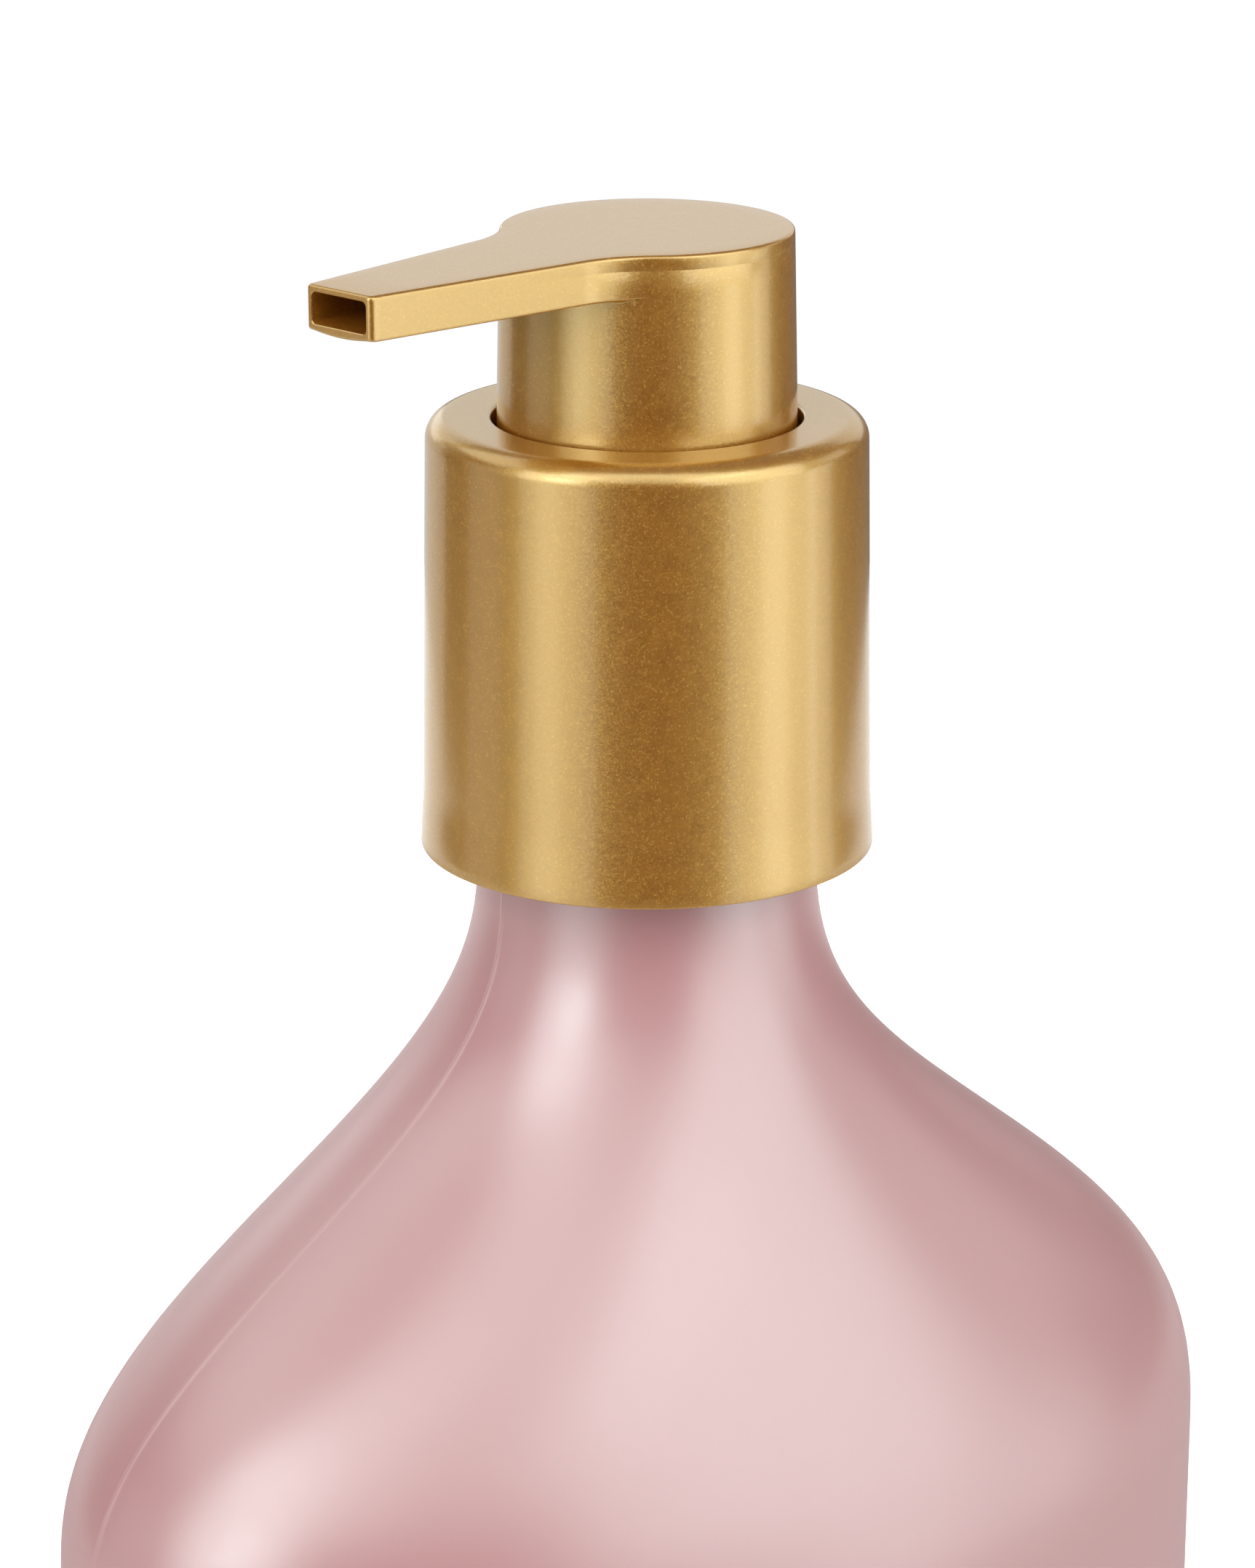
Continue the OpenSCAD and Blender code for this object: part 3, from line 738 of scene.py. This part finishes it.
# ---------------------------------------------------------------- stage, light and camera
VIEW_TURN = math.radians(-33.3)        # the camera's side of the object, from the -Y direction
CAMERA_BACK = 343.1                    # distance from the pump's axis, level with the ground
CAMERA_UP = 113.7                      # height above the collar's lower edge
CAMERA_SIDE = -1.41                    # how far it stands to the right of the axis
CAMERA_PITCH = math.radians(17.73)     # how far it looks down
CAMERA_ROLL = math.radians(-0.033)
LENS = 113.32
SENSOR = 36.0
TABLE_DROP = 0.1                       # the table's top lies this far under the bottle's foot
TABLE_SETBACK = 160.0                  # its middle is this far behind the object
TABLE_GLOW = 0.8
STUDIO_WALLS = 0.2


def around(azimuth, distance, height):
    """A point at an azimuth from the camera's own direction, seen from above, in metres."""
    a = math.radians(azimuth) + VIEW_TURN
    return Vector((math.sin(a) * distance, -math.cos(a) * distance, height))


def make_camera():
    data = bpy.data.cameras.new("camera")
    data.lens = LENS
    data.sensor_width = SENSOR
    data.clip_start = 0.01
    data.clip_end = 50
    camera = bpy.data.objects.new("camera", data)
    bpy.context.scene.collection.objects.link(camera)
    turn = Matrix.Rotation(VIEW_TURN, 4, "Z")
    place = Matrix.Translation(Vector((CAMERA_SIDE, -CAMERA_BACK, COLLAR_Z + CAMERA_UP)) * MM)
    look = Matrix.Rotation(math.pi / 2 - CAMERA_PITCH, 4, "X")
    roll = Matrix.Rotation(CAMERA_ROLL, 4, "Z")
    camera.matrix_world = turn @ place @ look @ roll
    bpy.context.scene.camera = camera


def make_floor():
    """A pale round table. The object stands near its front, so the collar mirrors the dark
    studio past the near edge and the white table behind it."""
    radius, thick, edge, pinhole = 430.0, 12.0, 3.0, 0.5
    top, bottom = -TABLE_DROP, -TABLE_DROP - thick
    profile = [(radius - edge, bottom), (pinhole, bottom), (pinhole, top), (radius / 2, top)]
    profile += arc((radius - edge, top - edge), edge, 90, 0, 6)
    floor = lathe("floor", profile, 192, 50)
    floor.location = around(180, TABLE_SETBACK * MM, 0)
    m = Nodes("pale_table")
    m.join(m.mix(m.range(m.noise(6, 3.0), 0.3, 0.7), (0.70, 0.70, 0.70), (0.74, 0.74, 0.74)),
           m.shader.inputs["Base Color"])
    m.set(Roughness=0.9, Emission_Color=(1.0, 1.0, 1.0, 1.0))
    # it glows where it is seen directly and, further from the pump's axis, where it is mirrored
    away = m.add("ShaderNodeVectorMath", operation="DISTANCE")
    m.join(m.place, away.inputs[0])
    away.inputs[1].default_value = -floor.location
    mirrored = m.range(away.outputs["Value"], 0.36, 0.44, 0.0, 0.65)
    seen = m.math("MULTIPLY", m.add("ShaderNodeLightPath").outputs["Is Camera Ray"], TABLE_GLOW)
    m.join(m.math("MAXIMUM", mirrored, seen), m.shader.inputs["Emission Strength"])
    floor.data.materials.append(m.material)


# Softboxes round the object: azimuth from the camera's side, elevation, width and height, all in
# degrees as seen from the object, and brightness.
SOFTBOXES = (
    ("left_low", -47, -15, 42, 30, 1.0),
    ("left_core", -52, -16, 14, 24, 0.7),
    ("left_high", -50, 22, 40, 44, 2.5),
    ("left_spot", -45, 15, 14, 18, 2.8),
    ("right_low", 68, -15, 56, 30, 1.2),
    ("right_core", 68, -16, 16, 26, 1.1),
    ("right_high", 57, 22, 64, 44, 2.2),
    ("right_far", 112, 16, 26, 18, 0.8),
    ("front_up", -16, 32, 24, 18, 1.5),
    ("front_right_up", 16, 32, 32, 20, 1.1),
    ("front_top", 0, 56, 120, 24, 1.8),
    ("side_left", -92, -4, 24, 40, 0.5),
    ("side_right", 99, -8, 18, 26, 1.1),
    ("side_top_left", -108, 44, 56, 30, 1.1),
    ("rim_left", -150, -6, 44, 46, 0.6),
    ("back", 180, 21, 80, 32, 0.8),
)
BOX_DISTANCE = 1.2
OBJECT_MIDDLE = Vector((0, 0, 0.14))


def make_softbox(name, azimuth, elevation, wide, tall, brightness):
    """A rectangular softbox that faces the object and stays out of the picture."""
    flat = math.cos(math.radians(elevation))
    toward = around(azimuth, flat, math.sin(math.radians(elevation)))
    data = bpy.data.lights.new(name, "AREA")
    data.shape = "RECTANGLE"
    data.size = 2 * BOX_DISTANCE * math.tan(math.radians(wide / 2)) * flat
    data.size_y = 2 * BOX_DISTANCE * math.tan(math.radians(tall / 2))
    data.energy = math.pi * data.size * data.size_y * brightness
    light = bpy.data.objects.new(name, data)
    bpy.context.scene.collection.objects.link(light)
    light.location = OBJECT_MIDDLE + toward * BOX_DISTANCE
    light.rotation_euler = (-toward).to_track_quat("-Z", "Y").to_euler()
    light.visible_camera = False


def make_studio():
    """A white backdrop for the camera; dim walls, lighter behind and above, for the object."""
    world = bpy.data.worlds.new("studio")
    bpy.context.scene.world = world
    world.use_nodes = True
    tree = world.node_tree
    background = tree.nodes["Background"]
    place = tree.nodes.new("ShaderNodeTexCoord")
    toward_back = tree.nodes.new("ShaderNodeVectorMath")
    toward_back.operation = "DOT_PRODUCT"
    toward_back.inputs[1].default_value = around(180, 0.8, 0.6)
    tree.links.new(place.outputs["Generated"], toward_back.inputs[0])
    walls = tree.nodes.new("ShaderNodeMapRange")
    for key, value in (("From Min", 0.0), ("From Max", 0.8), ("To Min", 0.0), ("To Max", STUDIO_WALLS)):
        walls.inputs[key].default_value = value
    tree.links.new(toward_back.outputs["Value"], walls.inputs["Value"])
    seen = tree.nodes.new("ShaderNodeLightPath")
    choice = tree.nodes.new("ShaderNodeMix")
    choice.data_type = "FLOAT"
    tree.links.new(seen.outputs["Is Camera Ray"], choice.inputs["Factor"])
    tree.links.new(walls.outputs["Result"], choice.inputs[2])
    choice.inputs[3].default_value = 1.0
    background.inputs["Color"].default_value = (1, 1, 1, 1)
    tree.links.new(choice.outputs[0], background.inputs["Strength"])


def make_light():
    for box in SOFTBOXES:
        make_softbox(*box)
    make_studio()


bpy.context.scene.view_settings.view_transform = "Standard"
make_camera()
gold = gold_coat()
steel = drawn_steel()
make_bottle()
make_collar(gold)
make_head(gold)
make_spring(steel)
dress_nodes(steel)
make_floor()
make_light()
